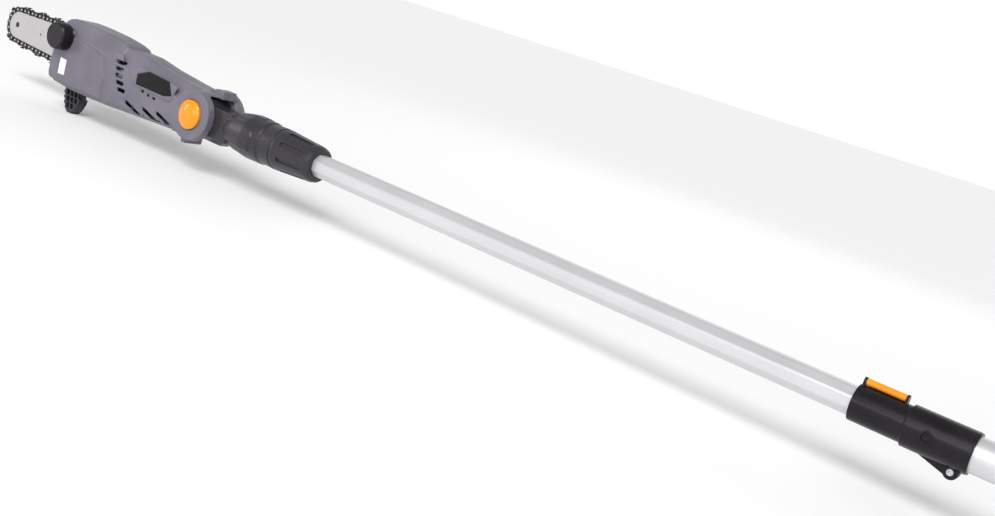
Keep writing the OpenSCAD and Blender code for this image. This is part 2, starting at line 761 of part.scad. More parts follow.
module lock_gear() {
  y1 = -13.3 - button_stroke;
  color(steel) place() difference() {
    union() {
      rod_y(pivot_x, 0, gear_lock_r - 2.4, y1 - 7, y1);
      for (i = [0 : 11]) translate([pivot_x, 0, 0]) rotate([0, i * 30, 0])
        slab(y1 - 7, y1) polygon([[11, -2], [gear_lock_r - 0.1, -1.3], [gear_lock_r - 0.1, 1.3], [11, 2]]);
    }
    rod_y(pivot_x, 0, sleeve_r + run_gap, y1 - 3.5, y1 + 10);
    rod_y(pivot_x, 0, 2.9 + fit_gap, -60, 0);
  }
}

// Tongue, neck and round body with a raised grip panel on each side
function body_line(g) = [[0, pivot_x + 49 - g], [19 + g, pivot_x + 49 - g], [23 + g, pivot_x + 53],
  [connector_r - 3 + g, pivot_x + 66], [connector_r + g, pivot_x + 90],
  [connector_r - 0.4 + g, pivot_x + 118], [connector_r - 2 + g, pivot_x + 122],
  [connector_r - 1.4 + g, -66.3], [0, -66.3]];

module connector_form() {
  difference() {
    union() {
      turned_x() polygon(body_line(0));
      rod_y(pivot_x, 0, tongue_r, tongue_y0, tongue_y1);
      box(pivot_x, pivot_x + 60, tongue_y0, tongue_y1, -20, 20);
      intersection() {
        turned_x() polygon(body_line(1.5));
        slab(-60, 60) polygon([[pivot_x + 56, -14], [pivot_x + 106, -17], [pivot_x + 110, 4],
          [pivot_x + 104, 13], [pivot_x + 84, 19], [pivot_x + 56, 17]]);
      }
      // Thumb rest on top
      intersection() {
        turned_x() polygon(body_line(0.8));
        box(pivot_x + 76, pivot_x + 106, -9, 9, 0, 60);
      }
    }
    rod_y(pivot_x, 0, sleeve_r + fit_gap, -60, 60);
    rod_y(pivot_x, 0, gear_lock_r + 1, -60, -12.6);
    rod_x(-132, -60, collet_r + fit_gap);
    rod_x(pivot_x + 50, -131, 11);
  }
}

collet_r = corner_r + 4;

module connector_near() {
  color(dark) place() intersection() {
    difference() {
      connector_form();
      for (x = connector_screw_x) rod_y(x[0], x[1], 2 + fit_gap, -13.5, 60);
    }
    box(-400, 0, -80, -0.05, -80, 80);
  }
}

connector_screw_x = [[pivot_x + 60, 15], [pivot_x + 60, -15], [-78, 21], [-78, -21]];

module connector_far() {
  color(dark) place() intersection() {
    difference() {
      connector_form();
      for (x = connector_screw_x) {
        rod_y(x[0], x[1], 2 + fit_gap, -60, 60);
        rod_y(x[0], x[1], 3.8, 9, 60);
      }
    }
    box(-400, 0, 0.05, 80, -80, 80);
  }
}

module connector_screws() {
  color(steel) place() for (x = connector_screw_x) union() {
    rod_y(x[0], x[1], 2, -13, 9.1);
    difference() {
      rod_y(x[0], x[1], 3.5, 9.05, 11.6);
      translate([x[0], 12, x[1]]) rotate([90, 0, 0]) cylinder(r = 1.6, h = 1.8, $fn = 6);
    }
  }
}

module tube_collet() {
  color(dark) place() difference() {
    union() {
      rod_x(-131, -10, collet_r);
    }
    octagon_x(-140, 10, upper_flats + 0.2, corner_r + 0.1);
    for (i = [0 : 3]) rotate([i * 90 + 45, 0, 0]) box(-52, 0, -0.8, 0.8, 5, 40);
  }
}

module collar_nut() {
  color(dark) place() difference() {
    turned_x() polygon([[corner_r + 0.35, -65.7], [connector_r - 2.2, -65.7], [connector_r - 1.6, -62],
      [connector_r - 2.6, -48], [connector_r - 5.2, -7], [corner_r + 7.6, -1.8], [corner_r + 5.6, 0],
      [corner_r + 0.35, 0]]);
    rod_x(-70, -9.6, collet_r + run_gap);
    for (i = [0 : 7]) rotate([i * 45 + 22.5, 0, 0]) translate([-52, -2.9, connector_r - 4.6])
      rotate([0, 3, 0]) cube([40, 5.8, 20]);
  }
}

module upper_pole() {
  color(silver) place() difference() {
    octagon_x(upper_start_x, upper_end_x, upper_flats, corner_r);
    octagon_x(upper_start_x - 1, upper_end_x + 1, upper_flats - 2 * upper_wall, corner_r - upper_wall);
  }
}

// Slide bush fixed on the inner end of the upper pole
module pole_end_bush() {
  in_r = lower_r - lower_wall - 0.1;
  color(black) place() difference() {
    union() {
      rod_x(upper_end_x - 24, upper_end_x, in_r);
      rod_x(upper_end_x, upper_end_x + 3, in_r);
    }
    octagon_x(upper_end_x - 30, upper_end_x + 0.05, upper_flats + 0.1, corner_r + 0.05);
    rod_x(upper_end_x - 1, upper_end_x + 5, 8);
  }
}

module lower_pole() {
  color(silver) place() difference() {
    rod_x(lower_x, lower_end_x, lower_r);
    rod_x(lower_x - 1, lower_end_x + 1, lower_r - lower_wall);
  }
}

// Narrow part round the upper pole, wide part round the lower pole, lever ears and bolt lug
module pole_clamp() {
  color(black) place() difference() {
    union() {
      rod_x(clamp_x, step_x + 1, neck_r);
      translate([step_x, 0, 0]) rotate([0, 90, 0]) cylinder(r1 = wide_r - 1.5, r2 = wide_r, h = 1.8);
      rod_x(step_x + 1, clamp_end_x, wide_r - 0.4);
      rod_x(step_x + 1.2, clamp_end_x - 1.6, wide_r);
      for (x = [ear_x0, ear_x1]) {
        box(x, x + ear_t, -ear_r, ear_r, 12, pin_z);
        rod_x(x, x + ear_t, ear_r, 0, pin_z);
      }
      slab(-2, 2) polygon([[lug_x - 39, -wide_r + 2], [lug_x - 4, lug_z - 6], [lug_x + 4, lug_z - 6],
        [lug_x + 9, -wide_r + 2]]);
      rod_y(lug_x, lug_z, lug_r, -5.5, 5.5);
      box(lug_x - lug_r, lug_x + lug_r, -5.5, 5.5, lug_z, -wide_r + 2);
      rod_y(set_x, 0, 6.2, -wide_r - 1.2, -wide_r + 3);
    }
    octagon_x(clamp_x - 1, step_x + 4, upper_flats + 0.5, corner_r + 0.25);
    rod_x(lower_x - 0.2, clamp_end_x + 1, lower_r + fit_gap);
    rod_x(clamp_x - 1, ear_x1 + ear_t + 1, 2 + fit_gap, 0, pin_z);
    // Split of the neck, split of the lug and their screw ways
    box(clamp_x - 1, step_x - 10, -1, 1, 10, pin_z - 3.4);
    box(step_x + 8, clamp_end_x + 1, -1, 1, -60, -10);
    rod_y(lug_x, lug_z, 2.5 + fit_gap, -20, 20);
    rod_y(lug_x, lug_z, 4, -12, -5.5);
    rod_y(lug_x, lug_z, 4.9, 5.5, 12);
    rod_y(set_x, 0, 4.9, -wide_r - 5, -wide_r + 1.2);
    rod_y(set_x, 0, 2.5, -wide_r - 5, -5);
  }
}

module clamp_pin() {
  color(steel) place() rod_x(ear_x0 + 0.3, ear_x1 + ear_t - 0.3, 2, 0, pin_z);
}

// Flip lever: cam barrel on the pin and a curved arm down the far side
module clamp_lever() {
  in_r = neck_r + 1.2;
  out_r = in_r + 4.2;
  x0 = ear_x0 + ear_t + run_gap;
  x1 = ear_x1 - run_gap;
  color(orange) place() difference() {
    union() {
      rod_x(x0, x1, 3.5, 0, pin_z);
      intersection() {
        difference() {
          rod_x(x0, x1, out_r);
          rod_x(clamp_x, step_x, in_r);
        }
        box(clamp_x, step_x, 0, 60, -9, 60);
      }
      box(x0 + 4, x1 - 4, in_r + 0.6, in_r + 6.6, -13, -8);
    }
    rod_x(clamp_x, step_x, 2 + fit_gap, 0, pin_z);
    // Finger hollows along the arm
    for (x = [x0 + 9 : 4 : x1 - 9]) box(x, x + 1.6, out_r - 0.8, 60, -4, 8);
  }
}

module pinch_screw() {
  color(steel) place() union() {
    rod_y(lug_x, lug_z, 2.5, -5.6, 10.5);
    difference() {
      rod_y(lug_x, lug_z, 3.2, -8.2, -5.55);
      translate([lug_x, -6.8, lug_z]) rotate([90, 0, 0]) cylinder(r = 2, h = 3, $fn = 6);
    }
  }
}

module pinch_nut() {
  color(steel) place() difference() {
    translate([lug_x, 9.6, lug_z]) rotate([90, 0, 0]) cylinder(r = 4.6, h = 4, $fn = 6);
    rod_y(lug_x, lug_z, 2.5 + fit_gap, 0, 20);
  }
}

module clamp_set_screw() {
  x = set_x;
  color(black) place() difference() {
    union() {
      rod_y(x, 0, 4.5, -wide_r + 0.4, -wide_r + 1.15);
      rod_y(x, 0, 2.4, -wide_r + 1, -lower_r - 0.2);
    }
    for (t = [0, 90]) translate([x, 0, 0]) rotate([0, t, 0]) box(-3, 3, -60, -wide_r + 0.8, -0.7, 0.7);
  }
}

foam_x = clamp_end_x + 190;

module foam_grip() {
  color([0.1, 0.1, 0.1]) place() difference() {
    union() {
      rod_x(foam_x + 3, foam_x + foam_len - 3, lower_r + foam_t);
      for (s = [0, 1]) translate([foam_x + (s > 0 ? foam_len - 3 : 3), 0, 0]) rotate([0, s > 0 ? 90 : -90, 0])
        cylinder(r1 = lower_r + foam_t, r2 = lower_r + foam_t - 2, h = 3);
    }
    rod_x(foam_x - 5, foam_x + foam_len + 5, lower_r + fit_gap);
  }
}

ring_x = handle_x - 92;
eye_z = lower_r + 15;

// Split ring on the lower pole with the eye for a carrying strap
module strap_ring() {
  color(black) place() difference() {
    union() {
      rod_x(ring_x, ring_x + 20, lower_r + 4);
      box(ring_x, ring_x + 20, -5, 5, lower_r, eye_z);
      rod_y(ring_x + 10, eye_z, 10, -5, 5);
      box(ring_x, ring_x + 20, -6, 6, -lower_r - 13, -lower_r);
    }
    rod_x(ring_x - 5, ring_x + 25, lower_r + fit_gap);
    rod_y(ring_x + 10, eye_z, 6, -20, 20);
    box(ring_x - 1, ring_x + 21, -1, 1, -lower_r - 20, -lower_r + 2);
    rod_y(ring_x + 10, -lower_r - 8, 2 + fit_gap, -20, 20);
  }
}

module strap_ring_screw() {
  color(steel) place() union() {
    rod_y(ring_x + 10, -lower_r - 8, 2, -6.1, 8);
    difference() {
      rod_y(ring_x + 10, -lower_r - 8, 3.6, -8.6, -6.05);
      translate([ring_x + 10, -7.4, -lower_r - 8]) rotate([90, 0, 0]) cylinder(r = 1.6, h = 2, $fn = 6);
    }
  }
}

// Rear handle outline: tube socket, hand grip, knuckle guard and battery foot
x_h = handle_x;
handle_line = [[x_h, -21], [x_h + 12, -27], [x_h + 40, -28], [x_h + 62, -60], [x_h + 120, -70],
  [handle_end_x, -70], [handle_end_x, 32], [handle_end_x - 8, 32], [handle_end_x - 24, 22],
  [x_h + 146, 21], [x_h + 116, 27], [x_h + 12, 27], [x_h, 21]];
hand_hole = [[x_h + 98, -24], [x_h + 87, -48], [x_h + 122, -57], [handle_end_x - 18, -57],
  [handle_end_x - 14, -50], [handle_end_x - 14, -27], [handle_end_x - 22, -20]];
handle_spots = [[x_h + 30, max(22.4, lower_r + 2.6)], [x_h + 84, 22.4], [x_h + 74, -52], [handle_end_x - 11, -62],
  [handle_end_x - 8, 20]];

module handle_form(in, w) {
  slab(-w, w) difference() {
    polygon(inset(handle_line, in));
    polygon(inset(hand_hole, in));
  }
}

module handle_body() {
  w_front = lower_r + 5.5;
  difference() {
    union() {
      difference() {
        handle_form(0, grip_half_w);
        handle_form(2.5, grip_half_w - 2.5);
      }
      // Wider socket round the lower pole
      difference() {
        box(x_h, x_h + 104, -w_front, w_front, -21, 21);
        box(x_h + 3, x_h + 101, -w_front + 2.5, w_front - 2.5, -18.5, 18.5);
      }
      box(x_h + 3, x_h + 9, -w_front, w_front, -21, 21);
      box(x_h + 60, x_h + 66, -w_front + 1, w_front - 1, -20, 20);
      box(x_h + 78.5, x_h + 84, -w_front + 1, w_front - 1, -20, 20);
      // Rails that carry the pack
      box(handle_end_x - 8, handle_end_x, -pack_w / 2 + 6, pack_w / 2 - 6, -66, 26);
      for (s = handle_spots) rod_y(s[0], s[1], 4, -grip_half_w, grip_half_w);
      rod_y(trig_x, trig_z, 4.4, -grip_half_w + 2, grip_half_w - 2);
    }
    rod_x(x_h - 5, lower_end_x + 0.3, lower_r + fit_gap);
    rod_x(lower_end_x - 5, x_h + 120, 10);
    for (s = handle_spots) rod_y(s[0], s[1], 2 + fit_gap, -grip_half_w + 6, 60);
    for (s = handle_spots) rod_y(s[0], s[1], 3.9, grip_half_w - 4, 60);
    // Way for the trigger, the lock-off button and the pack tongue
    box(x_h + 100, x_h + 134, -7.6, 7.6, -40, -3);
    rod_y(trig_x, trig_z, 1.85, -10.5, 10.5);
    rod_z(x_h + 108, 0, 6.3, 10, 60);
    rod_z(x_h + 108, 0, 8.4, 14, 24.4);
    box(handle_end_x - 6, handle_end_x + 5, -16.3, 16.3, -80, -4);
    box(handle_end_x - 20, handle_end_x - 5, -12, 12, -45, -6);
  }
}

module rod_z(x, y, r, z0, z1) {
  translate([x, y, z0]) cylinder(r = r, h = z1 - z0);
}

module handle_near() {
  color(grey) place() intersection() {
    handle_body();
    box(x_h - 50, handle_end_x + 50, -80, -0.05, -90, 90);
  }
}

module handle_far() {
  color(grey) place() intersection() {
    handle_body();
    box(x_h - 50, handle_end_x + 50, 0.05, 80, -90, 90);
  }
}

module handle_screws() {
  color(steel) place() for (s = handle_spots) union() {
    rod_y(s[0], s[1], 2, -grip_half_w + 6.5, grip_half_w - 3.9);
    difference() {
      rod_y(s[0], s[1], 3.5, grip_half_w - 3.95, grip_half_w - 1.4);
      translate([s[0], grip_half_w - 0.8, s[1]]) rotate([90, 0, 0]) cylinder(r = 1.6, h = 1.8, $fn = 6);
    }
  }
}

module switch_block() {
  color(black) place() box(x_h + 104, x_h + 134, -9, 9, -2, 9);
}

trig_x = x_h + 129;
trig_z = -16;

// Trigger blade hinged at its rear end
module trigger() {
  color(orange) place() difference() {
    union() {
      slab(-7, 7) polygon([[trig_x + 3, trig_z - 3.4], [trig_x + 3.4, trig_z + 2], [trig_x - 24, trig_z + 6],
        [trig_x - 28, trig_z + 2], [trig_x - 27, trig_z - 12], [trig_x - 21, trig_z - 17],
        [trig_x - 17, trig_z - 12], [trig_x - 9, trig_z - 8]]);
      rod_y(trig_x, trig_z, 3.4, -7, 7);
      rod_y(trig_x, trig_z, 1.8, -10, 10);
    }
  }
}

module lock_off_button() {
  color(orange) place() union() {
    rod_z(x_h + 108, 0, 6, 19, 29.6);
    rod_z(x_h + 108, 0, 8, 21, 24.2);
    translate([x_h + 108, 0, 29.6]) cylinder(r1 = 6, r2 = 4.8, h = 1.2);
  }
}

module terminal_block() {
  color(black) place() box(handle_end_x - 19, handle_end_x - 6.2, -11.5, 11.5, -44, -7);
}

// Pack with a tongue that slides up into the rails
module battery_pack() {
  w = pack_w / 2;
  color(dark) place() difference() {
    union() {
      slab(-w, w) polygon([[pack_x, -axis_h], [rear_x - 5, -axis_h], [rear_x, -axis_h + 6], [rear_x, -6],
        [rear_x - 8, 4], [pack_x, 4]]);
      box(pack_x - 5.6, pack_x + 2, -16, 16, -axis_h + 4, -6);
    }
    for (s = [-1, 1]) for (i = [0 : 3]) box(pack_x + 6, rear_x - 8, s > 0 ? w - 1.2 : -w - 1,
      s > 0 ? w + 1 : -w + 1.2, -62 + i * 12, -55 + i * 12);
    box(rear_x - 22.2, rear_x - 7.8, -12.3, 12.3, -9, 20);
    box(pack_x - 8, pack_x - 4, -9, 9, -44, -10);
  }
}

module battery_latch() {
  color(orange) place() union() {
    box(rear_x - 22, rear_x - 8, -12, 12, -4.4, 6.4);
    for (i = [0 : 2]) box(rear_x - 20 + i * 4, rear_x - 18.4 + i * 4, -9, 9, 6, 7.2);
  }
}

module battery_contacts() {
  color([0.8, 0.65, 0.3]) place() for (y = [-6, 0, 6])
    box(pack_x - 5.2, pack_x - 4.1, y - 1, y + 1, -40, -14);
}

head_shell_near();
head_shell_far();
sprocket_cover();
bar_mount_plate();
branch_hook();
guide_bar();
bar_nose_rivets();
chain_drive_links();
chain_tie_straps();
chain_cutters();
chain_rivets();
oil_tank();
oil_window();
oil_cap();
oil_cap_seal();
bar_stud();
cover_knob();
tension_screw();
tension_block();
shaft_bearing();
sprocket_shaft();
chain_sprocket();
face_gear();
motor_can();
motor_shaft();
motor_pinion();
name_plate();
head_screws();
tilt_sleeve();
tilt_button();
lock_gear();
connector_near();
connector_far();
connector_screws();
tube_collet();
collar_nut();
upper_pole();
pole_end_bush();
lower_pole();
pole_clamp();
clamp_pin();
clamp_lever();
pinch_screw();
pinch_nut();
clamp_set_screw();
foam_grip();
strap_ring();
strap_ring_screw();
handle_near();
handle_far();
handle_screws();
switch_block();
trigger();
lock_off_button();
terminal_block();
battery_pack();
battery_latch();
battery_contacts();
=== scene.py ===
"""Telescoping pole saw: finishes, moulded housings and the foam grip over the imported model."""
import json
import math

import bmesh
import bpy
from mathutils import Matrix, Vector, noise


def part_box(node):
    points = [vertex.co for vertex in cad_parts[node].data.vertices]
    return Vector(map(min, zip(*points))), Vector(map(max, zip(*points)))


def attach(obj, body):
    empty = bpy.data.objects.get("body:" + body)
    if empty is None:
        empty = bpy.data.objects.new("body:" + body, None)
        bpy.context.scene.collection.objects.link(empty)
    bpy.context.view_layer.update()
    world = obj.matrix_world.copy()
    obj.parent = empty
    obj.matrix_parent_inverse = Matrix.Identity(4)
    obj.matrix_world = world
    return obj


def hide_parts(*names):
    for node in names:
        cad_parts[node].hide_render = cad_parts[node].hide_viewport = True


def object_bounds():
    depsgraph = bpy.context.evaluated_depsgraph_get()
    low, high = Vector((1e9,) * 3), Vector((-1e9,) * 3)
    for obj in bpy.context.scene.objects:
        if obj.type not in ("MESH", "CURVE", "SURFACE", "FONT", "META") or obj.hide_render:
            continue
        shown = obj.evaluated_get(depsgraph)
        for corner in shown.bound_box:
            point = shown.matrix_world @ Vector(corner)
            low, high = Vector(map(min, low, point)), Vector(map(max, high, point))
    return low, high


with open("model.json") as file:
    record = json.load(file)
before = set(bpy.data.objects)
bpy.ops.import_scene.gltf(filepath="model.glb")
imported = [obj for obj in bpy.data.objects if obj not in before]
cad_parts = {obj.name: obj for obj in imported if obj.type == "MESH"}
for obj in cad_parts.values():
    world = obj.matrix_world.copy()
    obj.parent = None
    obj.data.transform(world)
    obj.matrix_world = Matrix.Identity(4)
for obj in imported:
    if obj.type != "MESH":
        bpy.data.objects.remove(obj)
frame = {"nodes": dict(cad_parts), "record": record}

cad_lo, cad_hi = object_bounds()
nodes = frame["nodes"]
scene = bpy.context.scene


# ---------------------------------------------------------------- camera, floor and lamps

def camera_on_the_tool():
    """Stands on the cap side, a little above the saw, and looks along the poles to the head."""
    right = Vector((0.7804323757, 0.5505383998, 0.2963659514))
    up = Vector((-0.3499532174, -0.0081747320, 0.9367315086))
    ahead = Vector((-0.5181293781, 0.8347698150, -0.1862828588))
    past_pole_end, beside, above = 1.113638, -1.125198, 0.311115
    data = bpy.data.cameras.new("camera")
    data.sensor_width, data.lens, data.shift_x = 36.0, 43.417, 0.0009
    data.clip_start, data.clip_end = 0.05, 60
    cam = bpy.data.objects.new("camera", data)
    turn = Matrix((right, up, -ahead)).transposed()
    stand = Vector((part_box("upper_pole")[0].x + past_pole_end, beside, cad_lo.z + above))
    cam.matrix_world = Matrix.Translation(stand) @ turn.to_4x4()
    scene.collection.objects.link(cam)
    scene.camera = cam


def soft_lamp(name, at, aim, size, watts):
    """Plain white box lamp of a size (across, along) in metres, turned to its aim."""
    data = bpy.data.lights.new(name, "AREA")
    data.shape, data.size, data.size_y = "RECTANGLE", size[0], size[1]
    data.energy = watts
    lamp = bpy.data.objects.new(name, data)
    lamp.location = at
    lamp.rotation_euler = (Vector(aim) - Vector(at)).to_track_quat("-Z", "Y").to_euler()
    scene.collection.objects.link(lamp)


def pale_floor():
    reach, below = 30, 0.0002
    corners = [(-reach, -reach, 0), (reach, -reach, 0), (reach, reach, 0), (-reach, reach, 0)]
    sheet = bpy.data.meshes.new("floor")
    sheet.from_pydata(corners, [], [(0, 1, 2, 3)])
    floor = bpy.data.objects.new("floor", sheet)
    floor.location.z = cad_lo.z - below
    scene.collection.objects.link(floor)
    paper, _, _, skin = new_material("pale_floor")
    skin.inputs["Base Color"].default_value = (0.93, 0.93, 0.93, 1)
    skin.inputs["Roughness"].default_value = 0.9
    skin.inputs["Specular IOR Level"].default_value = 0.1
    sheet.materials.append(paper)


def pale_room():
    """Room that darkens from the horizon to overhead, and is white where the camera sees it."""
    at_horizon, overhead, full_height, seen_white = 0.95, 0.38, 0.9, 1.0
    world = bpy.data.worlds.new("pale_room")
    world.use_nodes = True
    tree = world.node_tree
    backdrop = tree.nodes["Background"]
    backdrop.inputs[0].default_value = (1, 1, 1, 1)
    aim = tree.nodes.new("ShaderNodeTexCoord")
    height = tree.nodes.new("ShaderNodeSeparateXYZ")
    tree.links.new(aim.outputs["Generated"], height.inputs[0])
    dome = tree.nodes.new("ShaderNodeMapRange")
    dome.inputs["From Min"].default_value, dome.inputs["From Max"].default_value = 0.0, full_height
    dome.inputs["To Min"].default_value = at_horizon
    dome.inputs["To Max"].default_value = overhead
    tree.links.new(height.outputs["Z"], dome.inputs["Value"])
    seen = tree.nodes.new("ShaderNodeLightPath")
    level = tree.nodes.new("ShaderNodeMix")
    tree.links.new(seen.outputs["Is Camera Ray"], level.inputs[0])
    tree.links.new(dome.outputs[0], level.inputs[2])
    level.inputs[3].default_value = seen_white
    tree.links.new(level.outputs[0], backdrop.inputs[1])
    scene.world = world


def studio():
    pale_floor()
    pale_room()
    sky = bpy.data.lights.new("cap_side_sky", "SUN")
    sky.energy, sky.angle = 2.0, math.radians(30)
    sky_at = bpy.data.objects.new("cap_side_sky", sky)
    sky_at.rotation_euler = Vector((0.25, -0.75, 0.72)).to_track_quat("Z", "Y").to_euler()
    scene.collection.objects.link(sky_at)
    for name, at, aim, size, watts in (
            ("cap_side_box", (-0.1, -1.9, 0.6), (-0.5, 0, 0.1), (1.5, 0.4), 6),
            ("pole_side_strip", (0.1, -1.5, 0.95), (-0.9, 0, 0.1), (0.14, 0.9), 3),
            ("nose_side_strip", (-2.1, -1.0, 0.45), (-0.95, 0, 0.1), (0.14, 0.7), 2.5),
            ("far_side_box", (-0.4, 1.8, 1.0), (-0.4, 0, 0.1), (1.8, 0.6), 3)):
        soft_lamp(name, at, aim, size, watts)
    scene.view_settings.view_transform = "Standard"


# ---------------------------------------------------------------- shader groups

def new_group(name, takes, gives):
    """Node group with named sockets: takes and gives are (name, type, value) and (name, type)."""
    group = bpy.data.node_groups.new(name, "ShaderNodeTree")
    for label, kind, value in takes:
        socket = group.interface.new_socket(label, in_out="INPUT", socket_type=kind)
        socket.default_value = value
    for label, kind in gives:
        group.interface.new_socket(label, in_out="OUTPUT", socket_type=kind)
    put = group.nodes.new
    start, end = put("NodeGroupInput"), put("NodeGroupOutput")
    return group, put, group.links.new, start, end


def math_step(put, join, what, a, b, clamp=False):
    node = put("ShaderNodeMath")
    node.operation, node.use_clamp = what, clamp
    for socket, value in zip(node.inputs, (a, b)):
        if isinstance(value, (int, float)):
            socket.default_value = value
        else:
            join(value, socket)
    return node.outputs[0]


def own_place(put):
    return put("ShaderNodeTexCoord").outputs["Object"]


def noise_at(put, join, place, scale, detail=3.0, rough=0.5):
    tex = put("ShaderNodeTexNoise")
    join(place, tex.inputs["Vector"])
    if isinstance(scale, (int, float)):
        tex.inputs["Scale"].default_value = scale
    else:
        join(scale, tex.inputs["Scale"])
    tex.inputs["Detail"].default_value, tex.inputs["Roughness"].default_value = detail, rough
    return tex.outputs["Fac"]


def stretch(put, join, place, by):
    mapping = put("ShaderNodeMapping")
    join(place, mapping.inputs["Vector"])
    mapping.inputs["Scale"].default_value = by
    return mapping.outputs[0]


def moulding_grain_group():
    """Spark-eroded mould texture: fine height, and a slow drift of tone across the moulding."""
    group, put, join, start, end = new_group("moulding_grain",
        [("Grain Scale", "NodeSocketFloat", 1500.0), ("Tone Scale", "NodeSocketFloat", 22.0)],
        [("Height", "NodeSocketFloat"), ("Tone", "NodeSocketFloat")])
    place = own_place(put)
    fine = noise_at(put, join, place, start.outputs["Grain Scale"], 2.0)
    pits = put("ShaderNodeTexVoronoi")
    join(place, pits.inputs["Vector"])
    join(start.outputs["Grain Scale"], pits.inputs["Scale"])
    half_pits = math_step(put, join, "MULTIPLY", pits.outputs["Distance"], 0.5)
    join(math_step(put, join, "ADD", fine, half_pits), end.inputs["Height"])
    join(noise_at(put, join, place, start.outputs["Tone Scale"], 4.0, 0.6), end.inputs["Tone"])
    return group


def edge_rub_group():
    """Rubbed corners: a mask on outside edges, broken up by scuffs, and the softened normal."""
    group, put, join, start, end = new_group("edge_rub",
        [("Amount", "NodeSocketFloat", 0.5), ("Scuff Scale", "NodeSocketFloat", 160.0)],
        [("Mask", "NodeSocketFloat"), ("Normal", "NodeSocketVector")])
    soft = put("ShaderNodeBevel")
    soft.samples = 3
    soft.inputs["Radius"].default_value = 0.0011
    flat = put("ShaderNodeNewGeometry")
    dot = put("ShaderNodeVectorMath")
    dot.operation = "DOT_PRODUCT"
    join(soft.outputs[0], dot.inputs[0])
    join(flat.outputs["Normal"], dot.inputs[1])
    edge = math_step(put, join, "SUBTRACT", 1.0, dot.outputs["Value"])
    edge = math_step(put, join, "MULTIPLY", edge, 5.0, True)
    scuffs = noise_at(put, join, own_place(put), start.outputs["Scuff Scale"], 5.0, 0.7)
    scuffs = math_step(put, join, "SUBTRACT", scuffs, 0.4)
    scuffs = math_step(put, join, "MULTIPLY", scuffs, 4.0, True)
    edge = math_step(put, join, "MULTIPLY", edge, scuffs)
    join(math_step(put, join, "MULTIPLY", edge, start.outputs["Amount"], True), end.inputs["Mask"])
    join(soft.outputs[0], end.inputs["Normal"])
    return group


def garden_dust_group():
    """Thin dust: lies on faces that look up, thicker in patches."""
    group, put, join, start, end = new_group("garden_dust",
        [("Amount", "NodeSocketFloat", 0.2), ("Patch Scale", "NodeSocketFloat", 30.0)],
        [("Mask", "NodeSocketFloat")])
    split = put("ShaderNodeSeparateXYZ")
    join(put("ShaderNodeTexCoord").outputs["Normal"], split.inputs[0])
    upward = math_step(put, join, "MULTIPLY_ADD", split.outputs["Z"], 0.6, True)
    upward.node.inputs[2].default_value = 0.3
    patches = noise_at(put, join, own_place(put), start.outputs["Patch Scale"], 6.0, 0.65)
    patches = math_step(put, join, "SUBTRACT", patches, 0.35)
    patches = math_step(put, join, "MULTIPLY", patches, 2.6, True)
    settled = math_step(put, join, "MULTIPLY", upward, patches)
    settled = math_step(put, join, "MULTIPLY", settled, start.outputs["Amount"], True)
    join(settled, end.inputs["Mask"])
    return group


def handling_marks_group():
    """Roughness drift from hands and wiping."""
    group, put, join, start, end = new_group("handling_marks",
        [("Roughness", "NodeSocketFloat", 0.4), ("Spread", "NodeSocketFloat", 0.12)],
        [("Roughness", "NodeSocketFloat")])
    place = own_place(put)
    slow = noise_at(put, join, place, 18.0, 3.0)
    wipe = noise_at(put, join, stretch(put, join, place, (40, 220, 220)), 1.0, 4.0, 0.7)
    both = math_step(put, join, "MULTIPLY", math_step(put, join, "ADD", slow, wipe), 0.5)
    drift = math_step(put, join, "SUBTRACT", both, 0.5)
    drift = math_step(put, join, "MULTIPLY", drift, start.outputs["Spread"])
    drift = math_step(put, join, "MULTIPLY", drift, 2.0)
    drift = math_step(put, join, "ADD", drift, start.outputs["Roughness"], True)
    join(drift, end.inputs["Roughness"])
    return group


def draw_lines_group():
    """Fine lines left by drawing, rolling or grinding, along X unless Stretch says otherwise."""
    group, put, join, start, end = new_group("draw_lines",
        [("Stretch", "NodeSocketVector", (6.0, 1400.0, 1400.0))],
        [("Height", "NodeSocketFloat"), ("Tone", "NodeSocketFloat")])
    scaled = put("ShaderNodeVectorMath")
    scaled.operation = "MULTIPLY"
    join(own_place(put), scaled.inputs[0])
    join(start.outputs["Stretch"], scaled.inputs[1])
    lines = noise_at(put, join, scaled.outputs[0], 1.0, 4.0, 0.6)
    join(lines, end.inputs["Height"])
    slow = noise_at(put, join, own_place(put), 9.0, 2.0)
    join(math_step(put, join, "ADD", math_step(put, join, "MULTIPLY", lines, 0.6),
                   math_step(put, join, "MULTIPLY", slow, 0.4)), end.inputs["Tone"])
    return group


groups = {}
for build in (moulding_grain_group, edge_rub_group, garden_dust_group, handling_marks_group,
              draw_lines_group):
    made = build()
    groups[made.name] = made


def add_group(n, name, **values):
    node = n.new("ShaderNodeGroup")
    node.node_tree = groups[name]
    for label, value in values.items():
        node.inputs[label.replace("_", " ")].default_value = value
    return node


# ---------------------------------------------------------------- materials

DRY_DUST = (0.42, 0.4, 0.36)


def new_material(name):
    mat = bpy.data.materials.new(name)
    mat.use_nodes = True
    tree = mat.node_tree
    return mat, tree.nodes, tree.links.new, tree.nodes["Principled BSDF"]


def tone_ramp(n, link, factor, stops):
    ramp = n.new("ShaderNodeValToRGB")
    while len(ramp.color_ramp.elements) < len(stops):
        ramp.color_ramp.elements.new(0.5)
    for element, (at, colour) in zip(ramp.color_ramp.elements, stops):
        element.position, element.color = at, (*colour, 1)
    link(factor, ramp.inputs[0])
    return ramp.outputs[0]


def mix_colour(n, link, factor, under, over):
    mix = n.new("ShaderNodeMix")
    mix.data_type = "RGBA"
    link(factor, mix.inputs[0])
    for socket, value in ((mix.inputs[6], under), (mix.inputs[7], over)):
        if isinstance(value, tuple):
            socket.default_value = (*value, 1)
        else:
            link(value, socket)
    return mix.outputs[2]


